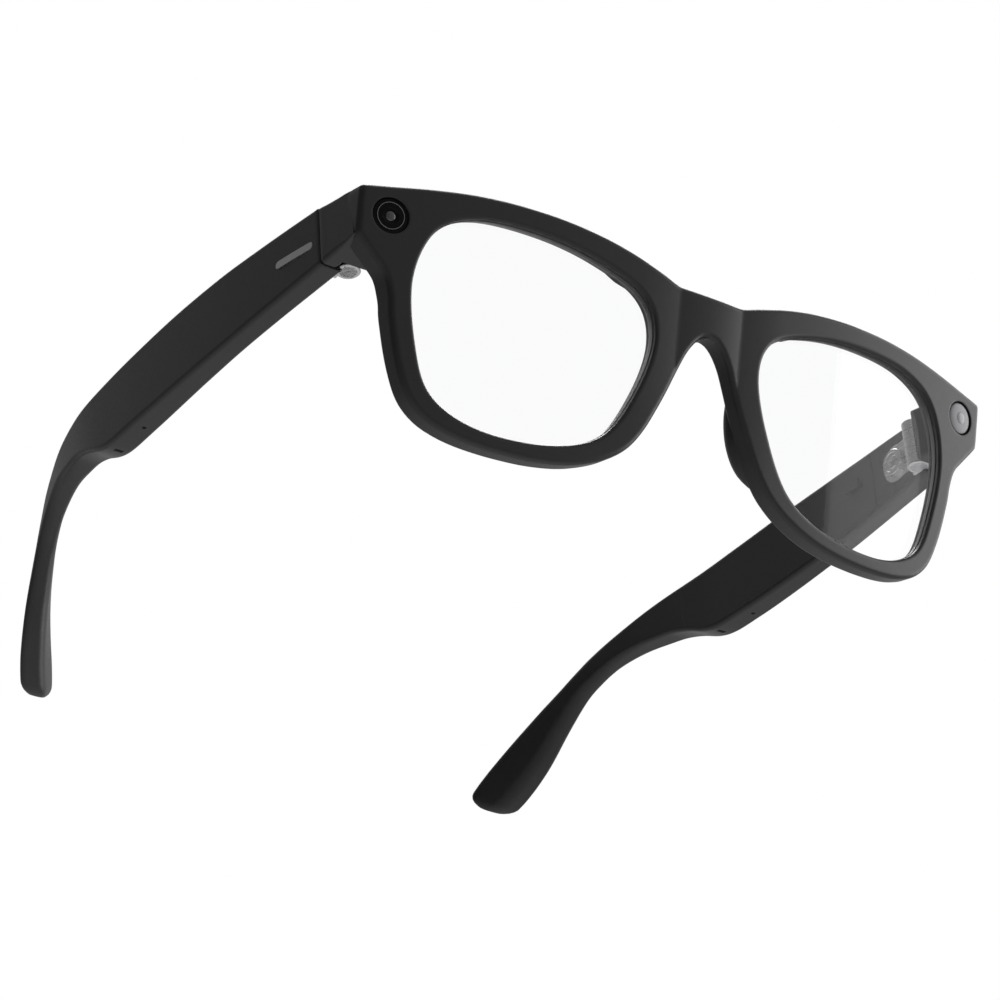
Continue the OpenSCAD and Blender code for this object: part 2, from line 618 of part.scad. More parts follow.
right_hand() speaker_grille();  // speaker_grille_right
right_hand() microphone();  // microphone_right
right_hand() antenna();  // antenna_right
capture_button();
button_switch();
right_hand() inlay_body();  // inlay_right
temple_shell_left();
temple_cover_left();
temple_leaf();  // temple_leaf_left
leaf_screws();  // leaf_screws_left
battery();
power_board();
power_slider();
power_switch();
speaker();  // speaker_left
speaker_grille();  // speaker_grille_left
microphone();  // microphone_left
antenna();  // antenna_left
inlay_body();  // inlay_left
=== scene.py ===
"""Camera smart glasses, standing open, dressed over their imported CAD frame.

The glasses' own sizes are in millimetres, in two local frames: the front's, tilted as it leans, and a
temple's, along its lower edge from the hinge. Each finished mesh is placed in the row frame, in metres.
"""

import json
import logging
import math
from dataclasses import dataclass, field
from enum import Enum

import bmesh
import bpy
from mathutils import Euler, Matrix, Vector


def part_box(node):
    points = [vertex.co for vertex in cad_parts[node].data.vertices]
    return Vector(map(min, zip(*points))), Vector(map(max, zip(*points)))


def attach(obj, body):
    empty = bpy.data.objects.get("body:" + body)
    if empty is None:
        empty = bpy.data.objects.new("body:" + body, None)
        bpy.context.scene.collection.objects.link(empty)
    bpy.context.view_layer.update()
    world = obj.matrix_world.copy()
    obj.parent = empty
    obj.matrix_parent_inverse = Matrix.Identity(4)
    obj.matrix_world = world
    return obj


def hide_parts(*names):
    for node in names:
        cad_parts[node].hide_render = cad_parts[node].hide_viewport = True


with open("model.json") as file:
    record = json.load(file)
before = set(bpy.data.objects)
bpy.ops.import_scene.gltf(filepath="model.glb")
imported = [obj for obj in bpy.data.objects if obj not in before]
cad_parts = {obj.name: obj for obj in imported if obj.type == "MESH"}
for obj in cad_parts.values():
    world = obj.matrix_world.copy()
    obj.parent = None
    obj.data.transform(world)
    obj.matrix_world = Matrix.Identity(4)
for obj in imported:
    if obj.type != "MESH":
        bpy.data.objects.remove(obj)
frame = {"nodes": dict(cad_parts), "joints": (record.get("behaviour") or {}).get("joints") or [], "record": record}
LOG = logging.getLogger("smart_glasses")
MM = 0.001


class Side(Enum):
    """A side of the wearer, by the sign of its X."""

    RIGHT = -1
    LEFT = 1

    @property
    def word(self) -> str:
        """The side's name in piece and node names."""
        return self.name.lower()


class Axis(Enum):
    """An axis that a grain runs along."""

    X = (1.0, 0.06, 0.06)
    Y = (0.06, 1.0, 0.06)
    Z = (0.06, 0.06, 1.0)


# --- Placement ---


@dataclass(frozen=True)
class Placement:
    """Where the front's and the temples' own frames lie in the row frame.

    The hinge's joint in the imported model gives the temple's frame, and the front's lies ahead of it.

    Attributes:
        lean_deg: the front's lean from upright.
        hinge_depth: the hinge's axis behind the front's middle, along the front's own depth.
        hinge_drop: the hinge's foot under the camera's middle, along the front's own height.
        hinge_height: the joint's place above the temple's lower edge.
        curve_radius: the front's curve round the face.
    """

    lean_deg: float = 9.3
    hinge_depth: float = 18.871
    hinge_drop: float = 7.7
    hinge_height: float = 5.6
    curve_radius: float = 320.0

    def _joint(self) -> dict:
        """The left temple's fold joint."""
        return next(j for j in frame["joints"] if j["name"] == "temple_fold_left")

    def temple(self) -> Matrix:
        """The left temple's frame, from millimetres to the row frame."""
        joint = self._joint()
        axis = Vector(joint["axis"])
        droop = math.atan2(axis.y, axis.z)
        turn = Matrix.Rotation(-droop, 4, "X")
        origin = Vector(joint["pos_m"]) - turn @ Vector((0, 0, self.hinge_height * MM))
        origin.x = 0.0
        return Matrix.Translation(origin) @ turn @ Matrix.Scale(MM, 4)

    def front(self) -> Matrix:
        """The front's frame, from millimetres to the row frame."""
        turn = Matrix.Rotation(math.radians(self.lean_deg), 4, "X")
        hinge = Vector((0, self.hinge_depth, -self.hinge_drop)) * MM
        origin = self.temple().to_translation() - turn @ hinge
        return Matrix.Translation(origin) @ turn @ Matrix.Scale(MM, 4)

    def set_back(self, x: float, depth: float = 0.0) -> float:
        """How far behind the front's middle its surface lies.

        Args:
            x: distance from the middle.
            depth: depth under the surface.

        Returns:
            The distance back, in millimetres.
        """
        inside = self.curve_radius - depth
        return self.curve_radius - math.sqrt(inside * inside - x * x)


PLACE = Placement()


# --- Curves ---


def catmull(a: Vector, b: Vector, c: Vector, d: Vector, t: float) -> Vector:
    """A point between b and c on the smooth curve through a, b, c and d."""
    return 0.5 * (2 * b + (c - a) * t + (2 * a - 5 * b + 4 * c - d) * t**2 + (3 * b - a - 3 * c + d) * t**3)


def smooth_loop(points: list[Vector], steps: int) -> list[Vector]:
    """A closed smooth curve through points, with steps points for each stretch."""
    n = len(points)
    return [
        catmull(points[i - 1], points[i], points[(i + 1) % n], points[(i + 2) % n], k / steps)
        for i in range(n)
        for k in range(steps)
    ]


def smooth_line(points: list[Vector], steps: int) -> list[Vector]:
    """An open smooth curve through points, ends included."""
    n = len(points) - 1
    run = [
        catmull(points[max(i - 1, 0)], points[i], points[i + 1], points[min(i + 2, n)], k / steps)
        for i in range(n)
        for k in range(steps)
    ]
    return run + [points[n]]


def even_line(points: list[Vector], count: int) -> list[Vector]:
    """Points spread evenly along a line of points.

    Args:
        points: the line.
        count: how many points to return.

    Returns:
        The spread points, both ends included.
    """
    reach = [0.0]
    for a, b in zip(points, points[1:]):
        reach.append(reach[-1] + (b - a).length)
    found = []
    j = 0
    for i in range(count):
        goal = reach[-1] * i / (count - 1)
        while j < len(points) - 2 and reach[j + 1] < goal:
            j += 1
        share = (goal - reach[j]) / max(reach[j + 1] - reach[j], 1e-9)
        found.append(points[j].lerp(points[j + 1], min(share, 1.0)))
    return found


def value_at(line: list[Vector], x: float) -> float:
    """The y of a line of points that runs along x, at x."""
    for a, b in zip(line, line[1:]):
        if x <= b.x:
            return a.y + (b.y - a.y) * max(0.0, (x - a.x) / (b.x - a.x))
    return line[-1].y


def offset_loop(points: list[Vector], inset: float, shares: list[float] | None = None) -> list[Vector]:
    """A closed 2D loop moved towards its left side, which is inside on an anticlockwise loop.

    Args:
        points: the loop.
        inset: how far it moves.
        shares: how much of the inset each point takes, or None for all of it.

    Returns:
        The moved loop, point for point.
    """
    n = len(points)
    moved = []
    for i, p in enumerate(points):
        before = (p - points[i - 1]).normalized()
        after = (points[(i + 1) % n] - p).normalized()
        normal = Vector((-before.y - after.y, before.x + after.x))
        normal.normalize()
        miter = max(normal.dot(Vector((-after.y, after.x))), 0.6)
        moved.append(p + normal * inset * (shares[i] if shares else 1.0) / miter)
    return moved


# --- Meshes ---


def ring_of(bm: bmesh.types.BMesh, places: list[Vector]) -> list[bmesh.types.BMEdge]:
    """Adds a closed ring of edges through places and returns its edges."""
    verts = [bm.verts.new(p) for p in places]
    return [bm.edges.new((verts[i - 1], verts[i])) for i in range(len(verts))]


def strip(bm: bmesh.types.BMesh, rings: list[list[Vector]]) -> tuple[list, list]:
    """Joins rings of as many points each, one after the other.

    Args:
        bm: the mesh that grows.
        rings: the rings' points.

    Returns:
        The edges of the first ring and of the last.
    """
    edges = [ring_of(bm, places) for places in rings]
    for a, b in zip(edges, edges[1:]):
        bmesh.ops.bridge_loops(bm, edges=a + b)
    return edges[0], edges[-1]


def capped_strip(bm: bmesh.types.BMesh, rings: list[list[Vector]]) -> None:
    """Joins rings as strip does and closes both ends."""
    for end in strip(bm, rings):
        bmesh.ops.contextual_create(bm, geom=end)


def circle(count: int) -> list[tuple[float, float]]:
    """The cosine and sine of turns spread evenly round a circle."""
    turns = [2 * math.pi * k / count for k in range(count)]
    return [(math.cos(a), math.sin(a)) for a in turns]


def slice_along(bm: bmesh.types.BMesh, axis: Vector, places: list[float]) -> None:
    """Cuts every face of a mesh across an axis, at places along it, so that it can be bent."""
    for place in places:
        geom = list(bm.verts) + list(bm.edges) + list(bm.faces)
        bmesh.ops.bisect_plane(bm, geom=geom, plane_co=axis * place, plane_no=axis)


def new_piece(name: str, bm: bmesh.types.BMesh, place: Matrix, body: str, finish: bpy.types.Material,
              slot: str, side: Side = Side.LEFT, smooth_deg: float = 40.0) -> bpy.types.Object:
    """Makes an object of a mesh, in its place in the row frame.

    Args:
        name: the piece's name.
        bm: its mesh, in its own frame.
        place: the matrix of that frame.
        body: the CAD body that it rides on.
        finish: its material.
        slot: the record's material slot, which is not used.
        side: RIGHT mirrors the mesh to the wearer's right.
        smooth_deg: edges sharper than this stay sharp.

    Returns:
        The new object.
    """
    bmesh.ops.remove_doubles(bm, verts=bm.verts, dist=1e-4)
    bmesh.ops.transform(bm, matrix=Matrix.Diagonal((side.value, 1, 1, 1)) @ place, verts=bm.verts)
    bmesh.ops.recalc_face_normals(bm, faces=bm.faces)
    mesh = bpy.data.meshes.new(name)
    bm.to_mesh(mesh)
    bm.free()
    mesh.shade_smooth()
    mesh.set_sharp_from_angle(angle=math.radians(smooth_deg))
    mesh.materials.append(finish)
    piece = bpy.data.objects.new(name, mesh)
    bpy.context.scene.collection.objects.link(piece)
    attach(piece, body)
    LOG.info("made %s on %s", name, body)
    return piece


def even_normals(piece: bpy.types.Object) -> None:
    """Gives a piece's flat faces the say over its shading."""
    modifier = piece.modifiers.new("even_normals", "WEIGHTED_NORMAL")
    modifier.keep_sharp = True
    modifier.weight = 60


def rounded_corners(half_a: float, half_b: float, radius: float, steps: int = 4) -> list[Vector]:
    """A rectangle with round corners, about its centre, anticlockwise.

    Args:
        half_a: half its width.
        half_b: half its height.
        radius: the corners' radius.
        steps: stretches in each corner.

    Returns:
        Its points.
    """
    points = []
    for quarter, (sa, sb) in enumerate(((1, 1), (-1, 1), (-1, -1), (1, -1))):
        for k in range(steps + 1):
            turn = math.pi / 2 * (quarter + k / steps)
            centre = Vector((sa * (half_a - radius), sb * (half_b - radius)))
            points.append(centre + radius * Vector((math.cos(turn), math.sin(turn))))
    return points


def disc(bm: bmesh.types.BMesh, radius: float, low: float, high: float, at: Matrix, edge: float,
         segments: int) -> None:
    """Adds a round disc along its frame's Z, with its top edge bevelled.

    Args:
        bm: the mesh that grows.
        radius: its radius.
        low: the height of its underside.
        high: the height of its top.
        at: its frame.
        edge: the bevel's width.
        segments: how many sides it has.
    """
    made = bmesh.ops.create_cone(bm, cap_ends=True, segments=segments, radius1=radius, radius2=radius,
                                 depth=high - low)
    bmesh.ops.translate(bm, verts=made["verts"], vec=(0, 0, (low + high) / 2))
    top = {v for v in made["verts"] if v.co.z > (low + high) / 2}
    rim = {e for v in top for e in v.link_edges if all(w in top for w in e.verts)}
    cut = bmesh.ops.bevel(bm, geom=list(rim), affect="EDGES", offset=edge, segments=3, profile=0.5,
                          material=-1, clamp_overlap=True)
    verts = {v for f in cut["faces"] for v in f.verts} | {v for v in made["verts"] if v.is_valid}
    bmesh.ops.transform(bm, matrix=at, verts=list(verts))


# --- Finishes ---


class Nodes:
    """A short way to write a material's node tree."""

    def __init__(self, name: str) -> None:
        """Starts a material with a Principled shader."""
        self.material = bpy.data.materials.new(name)
        self.material.use_nodes = True
        self.tree = self.material.node_tree
        self.shader = self.tree.nodes["Principled BSDF"]
        self.where = self.add("ShaderNodeTexCoord").outputs["Object"]

    def add(self, kind: str, **values: object) -> bpy.types.Node:
        """Adds a node of a kind and sets its properties."""
        node = self.tree.nodes.new(kind)
        for key, value in values.items():
            setattr(node, key, value)
        return node

    def link(self, out: bpy.types.NodeSocket, into: bpy.types.NodeSocket) -> None:
        """Joins an output to an input."""
        self.tree.links.new(out, into)

    def set(self, **values: object) -> None:
        """Sets the shader's own sockets, with spaces in their names written as underscores."""
        for key, value in values.items():
            self.shader.inputs[key.replace("_", " ")].default_value = value

    def noise(self, per_metre: float, detail: float = 3.0, grain: Axis | None = None) -> bpy.types.NodeSocket:
        """A noise in the object's own coordinates.

        Args:
            per_metre: its scale.
            detail: octaves.
            grain: the axis that it is stretched along, if any.

        Returns:
            The noise's value.
        """
        node = self.add("ShaderNodeTexNoise")
        node.inputs["Scale"].default_value = per_metre
        node.inputs["Detail"].default_value = detail
        source = self.where
        if grain:
            stretch = self.add("ShaderNodeMapping")
            stretch.inputs["Scale"].default_value = grain.value
            self.link(source, stretch.inputs["Vector"])
            source = stretch.outputs["Vector"]
        self.link(source, node.inputs["Vector"])
        return node.outputs["Fac"]

    def spread(self, value: bpy.types.NodeSocket, low: float, high: float) -> bpy.types.NodeSocket:
        """Maps a noise's middle range to low..high."""
        node = self.add("ShaderNodeMapRange")
        node.inputs["From Min"].default_value = 0.3
        node.inputs["From Max"].default_value = 0.7
        node.inputs["To Min"].default_value = low
        node.inputs["To Max"].default_value = high
        self.link(value, node.inputs["Value"])
        return node.outputs["Result"]

    def mix(self, factor: bpy.types.NodeSocket, a: tuple, b: tuple) -> bpy.types.NodeSocket:
        """A colour between a and b."""
        node = self.add("ShaderNodeMix", data_type="RGBA")
        node.inputs["A"].default_value = (*a, 1)
        node.inputs["B"].default_value = (*b, 1)
        self.link(factor, node.inputs["Factor"])
        return node.outputs["Result"]

    def bump(self, value: bpy.types.NodeSocket, depth_m: float) -> None:
        """Raises the surface by a value times a depth in metres."""
        node = self.add("ShaderNodeBump")
        node.inputs["Strength"].default_value = 1.0
        node.inputs["Distance"].default_value = depth_m
        self.link(value, node.inputs["Height"])
        self.link(node.outputs["Normal"], self.shader.inputs["Normal"])


@dataclass(frozen=True)
class Finish:
    """A solid finish with a slight mottle and a fine surface.

    Attributes:
        name: the material's name.
        colour: its colour, as linear red, green and blue.
        roughness: its middle roughness, which wear varies by about a tenth.
        metallic: 1 for bare metal.
        specular: the shader's specular level.
        mottle: how much the colour varies, as a share of it.
        mottle_per_metre: the scale of that mottle.
        wear_per_metre: the scale of the changes in roughness.
        grain_per_metre: the scale of the fine surface.
        grain_depth: the height of the fine surface, in metres.
        brushed: the axis that the wear and the grain run along, if any.
        coat: the weight of a clear coat.
    """

    name: str
    colour: tuple[float, float, float]
    roughness: float = 0.4
    metallic: float = 0.0
    specular: float = 0.5
    mottle: float = 0.12
    mottle_per_metre: float = 420.0
    wear_per_metre: float = 1800.0
    grain_per_metre: float = 9000.0
    grain_depth: float = 2e-6
    brushed: Axis | None = None
    coat: float = 0.0

    def make(self) -> bpy.types.Material:
        """Builds the finish's material."""
        n = Nodes(self.name)
        n.set(Metallic=self.metallic, Specular_IOR_Level=self.specular, Coat_Weight=self.coat,
              Coat_Roughness=0.08)
        low = tuple(c * (1 - self.mottle) for c in self.colour)
        high = tuple(c * (1 + self.mottle) for c in self.colour)
        n.link(n.mix(n.noise(self.mottle_per_metre, 2), low, high), n.shader.inputs["Base Color"])
        wear = n.noise(self.wear_per_metre, 4, self.brushed)
        n.link(n.spread(wear, self.roughness * 0.9, self.roughness * 1.12), n.shader.inputs["Roughness"])
        n.bump(n.noise(self.grain_per_metre, 2, self.brushed), self.grain_depth)
        n.material.diffuse_color = (*self.colour, 1)
        return n.material


@dataclass(frozen=True)
class ClearLens:
    """Clear lens material, with a faint film that varies its gloss.

    Attributes:
        name: the material's name.
        tint: the colour that light takes from it.
        coated_index: its index, low because a coated lens reflects little.
        film_per_metre: the scale of the film.
        film_roughness: the most that the film roughens it.
    """

    name: str = "clear_lens"
    tint: tuple[float, float, float] = (0.965, 0.968, 0.975)
    coated_index: float = 1.2
    film_per_metre: float = 60.0
    film_roughness: float = 0.02

    def make(self) -> bpy.types.Material:
        """Builds the lens's material."""
        n = Nodes(self.name)
        n.set(Base_Color=(*self.tint, 1), IOR=self.coated_index, Transmission_Weight=1.0)
        film = n.noise(self.film_per_metre, 2)
        n.link(n.spread(film, 0.0, self.film_roughness), n.shader.inputs["Roughness"])
        return n.material


@dataclass(frozen=True)
class Palette:
    """Every finish on the glasses, by its name, which for most is the record's slot."""

    made: dict[str, bpy.types.Material] = field(default_factory=dict)

    def build(self) -> "Palette":
        """Makes the materials and returns the palette."""
        solid = [
            Finish("frame_plastic", (0.0105, 0.0105, 0.0112), 0.35, specular=0.5, grain_depth=1.2e-6),
            Finish("camera_black", (0.002, 0.002, 0.0022), 0.45, specular=0.12, mottle=0.05,
                   grain_depth=4e-7),
            Finish("camera_ring", (0.26, 0.26, 0.265), 0.3, metallic=0.9, brushed=Axis.X, grain_depth=8e-7),
            Finish("camera_glass", (0.0015, 0.0015, 0.002), 0.08, specular=0.12, mottle=0.05,
                   grain_depth=1e-7),
            Finish("light_window", (0.27, 0.27, 0.29), 0.38, mottle=0.08, grain_depth=3e-7, coat=0.12),
            Finish("light_guide", (0.75, 0.75, 0.76), 0.2),
            Finish("dark_rubber", (0.008, 0.008, 0.008), 0.7, specular=0.3),
            Finish("board", (0.012, 0.09, 0.045), 0.35),
            Finish("flex", (0.32, 0.15, 0.04), 0.35),
            Finish("chip_metal", (0.55, 0.55, 0.57), 0.32, metallic=1.0, brushed=Axis.Y),
            Finish("contact_gold", (0.80, 0.56, 0.22), 0.22, metallic=1.0, mottle=0.05),
            Finish("hinge_steel", (0.60, 0.60, 0.61), 0.27, metallic=1.0, brushed=Axis.Z, mottle=0.06),
            Finish("screw_steel", (0.50, 0.50, 0.51), 0.25, metallic=1.0, brushed=Axis.X, mottle=0.06),
            Finish("battery_foil", (0.42, 0.43, 0.46), 0.4, metallic=0.8),
            Finish("dark_electronics", (0.02, 0.02, 0.022), 0.5),
            Finish("grille", (0.004, 0.004, 0.004), 0.8, specular=0.2),
            Finish("copper", (0.72, 0.36, 0.18), 0.3, metallic=1.0),
            Finish("button_plastic", (0.028, 0.028, 0.03), 0.42),
            Finish("inlay", (0.52, 0.52, 0.53), 0.3, metallic=1.0, brushed=Axis.Y, mottle=0.05),
            Finish("camera_pupil_glass", (0.012, 0.012, 0.016), 0.12, specular=0.8, mottle=0.05,
                   grain_depth=1e-7, coat=1.0),
            Finish("light_bead", (0.33, 0.335, 0.35), 0.3, mottle=0.05, grain_depth=1e-7, coat=0.3),
        ]
        for finish in solid:
            self.made[finish.name] = finish.make()
        self.made["lens"] = ClearLens().make()
        return self

    def __getitem__(self, name: str) -> bpy.types.Material:
        """The material of a finish."""
        return self.made[name]

    def slot_of(self, name: str) -> str:
        """The record's slot of a finish, where the pupil and the bead go with the glass round them."""
        return {"camera_pupil_glass": "camera_glass", "light_bead": "light_window"}.get(name, name)

    def dress_frame(self) -> None:
        """Gives every CAD node the finish of its slot."""
        for part in frame["record"]["subparts"]:
            mesh = frame["nodes"][part["node"]].data
            mesh.materials.clear()
            mesh.materials.append(self.made[part["material_slot"]])


# --- Front ---


@dataclass
class Front:
    """The rims, brow and bridge in one moulding, with the camera's and the light's recesses.

    Attributes:
        palette: the finishes.
        thickness: from the front surface to the back.
        edge: the rounding of the outer edge at the front.
        back_edge: the rounding of the outer edge at the back.
        roll: the width of the rounding into a lens opening.
        roll_depth: that rounding's depth, as a share of its width.
        lens_middle: the left opening's middle, across and up.
        opening: the opening's width and height.
        guard: the width of the flat ring beside each rounding, which keeps its shading even.
        recess_x: the recesses' distance from the middle.
        recess_r: their radius.
        recess_d: their depth.
        slice_width: how wide the slices are that the front is bent by.
        fine_slice: how wide they are at the bridge.
        fine_reach: how far the fine slices reach from the middle.
        off_points: how far the wide slices are shifted, off the outline's own points.
        bridge_half: half the width of the bridge, where the valleys are deepest.
        valley: their depth.
        valley_blend: how far they run out beside the bridge.
        valley_fade: the depth under the front surface at which they are gone.
        end_start: where the end pieces start, from the middle.
        end_blend: the width over which the back's rounding changes there.
        end_loss: how much of the rounding is lost at the end pieces.
        half_points: how many points half the outer edge has.
        opening_points: how many points an opening has.
    """

    palette: Palette
    thickness: float = 4.4
    edge: float = 1.0
    back_edge: float = 0.9
    roll: float = 0.75
    roll_depth: float = 0.75
    lens_middle: tuple[float, float] = (35.7, -15.1)
    opening: tuple[float, float] = (47.8, 39.0)
    guard: float = 0.25
    recess_x: float = 65.0
    recess_r: float = 3.32
    recess_d: float = 1.3
    slice_width: float = 2.0
    fine_slice: float = 0.5
    fine_reach: float = 16.0
    off_points: float = 0.013
    bridge_half: float = 7.0
    valley: float = 0.45
    valley_blend: float = 9.0
    valley_fade: float = 2.2
    end_start: float = 61.0
    end_blend: float = 3.0
    end_loss: float = 0.92
    half_points: int = 260
    opening_points: int = 160

    def half_outline(self) -> list[Vector]:
        """The left half's outer edge, from the bridge's top middle round to the arch's middle."""
        brow = [(0, 3.1), (3.5, 3.12), (6.6, 3.18), (8.2, 3.5), (10, 4.1), (14, 5.3), (18, 6.4), (24, 7.6),
                (32, 8.5), (40, 8.72), (46, 8.52), (52, 7.95), (59, 6.85), (65, 5.7), (69.9, 4.8)]
        side = [(70.55, 4.35), (70.78, 3.7), (70.72, -0.5), (70.62, -3.6), (70.3, -4.7), (67.0, -8.3),
                (64.7, -11.0), (63.6, -14.4), (63.2, -17.2), (62.7, -19.6), (62.0, -22.6), (60.8, -26.6),
                (59.0, -30.8), (57.0, -33.4), (54.4, -35.3), (51.4, -36.5), (48.2, -37.25), (44.2, -37.7),
                (39, -37.85), (33, -37.55), (27, -36.5), (21.7, -34.6), (18, -32.5), (15.0, -29.9),
                (12.3, -26.1), (9.8, -21.2), (7.7, -16.6), (6, -12.4), (4.5, -9.0), (2.9, -6.6), (1.4, -5.3),
                (0, -4.9)]
        return [Vector(p) for p in brow + side]

    def outline(self) -> list[Vector]:
        """The whole outer edge, anticlockwise."""
        half = even_line(smooth_line(self.half_outline(), 8), self.half_points)
        mirrored = [Vector((-p.x, p.y)) for p in half]
        return mirrored + list(reversed(half))[1:-1]

    def opening_outline(self) -> list[Vector]:
        """The left lens's opening, anticlockwise."""
        shares = [(1, 0.25), (0.86, 0.75), (0.53, 0.97), (0.01, 1), (-0.48, 0.91), (-0.88, 0.71), (-1, 0.34),
                  (-0.885, -0.2), (-0.625, -0.73), (-0.19, -0.965), (0.38, -0.995), (0.765, -0.8),
                  (0.926, -0.377)]
        points = [Vector((self.lens_middle[0] + a * self.opening[0] / 2,
                          self.lens_middle[1] + b * self.opening[1] / 2)) for a, b in shares]
        loop = smooth_loop(points, 12)
        return even_line(loop + [loop[0]], self.opening_points + 1)[:-1]

    def place(self, p: Vector, depth: float) -> Vector:
        """A point of the outline at a depth, before the front is curved."""
        return Vector((p.x, depth, p.y))

    def outer_profile(self) -> list[tuple[float, float]]:
        """Inset and depth along the outer edge, from the front surface to the back."""
        front = [(self.edge * (1 - math.sin(a)), self.edge * (1 - math.cos(a)))
                 for a in (math.radians(15 * k) for k in range(7))]
        front.insert(0, (self.edge + self.guard, 0.0))
        back = [(self.back_edge * (1 - math.cos(a)), self.thickness - self.back_edge * (1 - math.sin(a)))
                for a in (math.radians(18 * k) for k in range(6))]
        return front + back

    def back_shares(self, points: list[Vector]) -> list[float]:
        """How much of the back's rounding each point keeps: little at the end pieces, which go on behind."""
        return [1.0 - self.end_loss * min(max((abs(p.x) - self.end_start) / self.end_blend, 0.0), 1.0)
                for p in points]

    def inner_profile(self) -> list[tuple[float, float]]:
        """Distance out from the opening and depth along a lens opening's wall."""
        front = [(self.roll * (1 - math.sin(a)), self.roll_depth * self.roll * (1 - math.cos(a)))
                 for a in (math.radians(15 * k) for k in range(7))]
        front.insert(0, (self.roll + self.guard, 0.0))
        lip = [(0.0, 1.05), (-0.08, 1.12), (-0.12, 1.2), (-0.12, 1.29), (0.0, 1.3), (0.0, 2.5)]
        back = [(0.08, 2.9), (0.22, 3.5), (0.34, 3.95), (0.44, 4.25), (0.52, 4.36), (0.62, self.thickness)]
        return front + lip + back

    def recess(self, bm: bmesh.types.BMesh, x: float) -> list[bmesh.types.BMEdge]:
        """Adds a round recess with a floor and returns the edges of its mouth."""
        steps = [(self.recess_r + 0.5, 0.0), (self.recess_r + 0.12, 0.0), (self.recess_r + 0.04, 0.03),
                 (self.recess_r, 0.12), (self.recess_r, self.recess_d)]
        rings = [[Vector((x + radius * c, depth, radius * s)) for c, s in circle(64)]
                 for radius, depth in steps]
        mouth, floor = strip(bm, rings)
        bmesh.ops.contextual_create(bm, geom=floor)
        return mouth

    def relief(self, x: float, depth: float) -> float:
        """How much deeper the surface lies beside the bridge, which stands out between two shallow valleys.

        Args:
            x: distance from the middle.
            depth: depth under the front surface, where the relief fades out.

        Returns:
            The extra depth.
        """
        fade = max(0.0, 1.0 - depth / self.valley_fade)
        out = abs(x)
        if out < self.bridge_half:
            return self.valley * (out / self.bridge_half) ** 2 * fade
        return self.valley * max(0.0, 1.0 - (out - self.bridge_half) / self.valley_blend) ** 2 * fade

    def curve(self, bm: bmesh.types.BMesh) -> None:
        """Slices the flat moulding across, models the bridge and bends it all round the face."""
        reach = round(self.fine_reach / self.fine_slice)
        wide = [k * self.slice_width for k in range(-35, 36) if abs(k * self.slice_width) > self.fine_reach]
        fine = [k * self.fine_slice for k in range(-reach, reach + 1)]
        slice_along(bm, Vector((1, 0, 0)), [x + self.off_points for x in wide] + fine)
        for v in bm.verts:
            v.co.y = PLACE.set_back(v.co.x, v.co.y + self.relief(v.co.x, v.co.y))

    def build(self) -> None:
        """Builds the front and puts it in the place of its CAD node."""
        bm = bmesh.new()
        outer = self.outline()
        profile = self.outer_profile()
        shares = self.back_shares(outer)
        rings = [[self.place(p, depth)
                  for p in offset_loop(outer, inset, shares if depth > self.thickness / 2 else None)]
                 for inset, depth in profile]
        front_edges, back_edges = strip(bm, rings)
        for side in Side:
            loop = [Vector((side.value * p.x, p.y)) for p in self.opening_outline()]
            if side is Side.RIGHT:
                loop.reverse()
            rings = [[self.place(p, depth) for p in offset_loop(loop, -out)]
                     for out, depth in self.inner_profile()]
            mouth, back = strip(bm, rings)
            front_edges += mouth
            back_edges += back
            front_edges += self.recess(bm, side.value * self.recess_x)
        bmesh.ops.triangle_fill(bm, edges=front_edges, use_beauty=True, normal=(0, -1, 0))
        bmesh.ops.triangle_fill(bm, edges=back_edges, use_beauty=True, normal=(0, 1, 0))
        self.curve(bm)
        piece = new_piece("front_moulding", bm, PLACE.front(), "front", self.palette["frame_plastic"],
                          "frame_plastic", smooth_deg=50)
        even_normals(piece)
        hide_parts("front_frame")


@dataclass
class NosePad:
    """The soft ridge behind the nose side of a rim, in the front's frame before it is curved.

    Attributes:
        palette: the finishes.
        fullness: how far it stands back, as a share of its half width.
        steps: the stretches between two points of its spine.
        girth_points: how many points a cross-section has.
    """

    palette: Palette
    fullness: float = 1.15
    steps: int = 5
    girth_points: int = 24

    def spine(self) -> list[Vector]:
        """The middle line of the left pad, from its top to its foot."""
        points = [(8.3, 3.4, -8.4), (8.9, 4.2, -12.4), (9.9, 4.9, -17.0), (11.6, 5.2, -21.6),
                  (13.8, 4.9, -25.6), (16.6, 3.9, -29.4)]
        return smooth_line([Vector(p) for p in points], self.steps)

    def girth(self) -> list[float]:
        """Half the pad's width at each point of its spine."""
        widths = smooth_line([Vector((w, 0, 0)) for w in (0.4, 1.1, 1.7, 2.0, 1.8, 0.5)], self.steps)
        return [w.x for w in widths]

    def build(self, side: Side) -> None:
        """Builds one side's pad and puts it in the place of its CAD node."""
        spine = self.spine()
        rings = []
        for i, (p, w) in enumerate(zip(spine, self.girth())):
            along = (spine[min(i + 1, len(spine) - 1)] - spine[max(i - 1, 0)]).normalized()
            out = Vector((0, 1, 0)) - along * along.y
            out.normalize()
            across = along.cross(out)
            rings.append([p + across * w * c + out * self.fullness * w * s
                          for c, s in circle(self.girth_points)])
        bm = bmesh.new()
        capped_strip(bm, rings)
        piece = new_piece(f"nose_rest_{side.word}", bm, PLACE.front(), "front",
                          self.palette["frame_plastic"], "frame_plastic", side, 80)
        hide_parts(f"nose_pad_{side.word}")


# --- End pieces ---


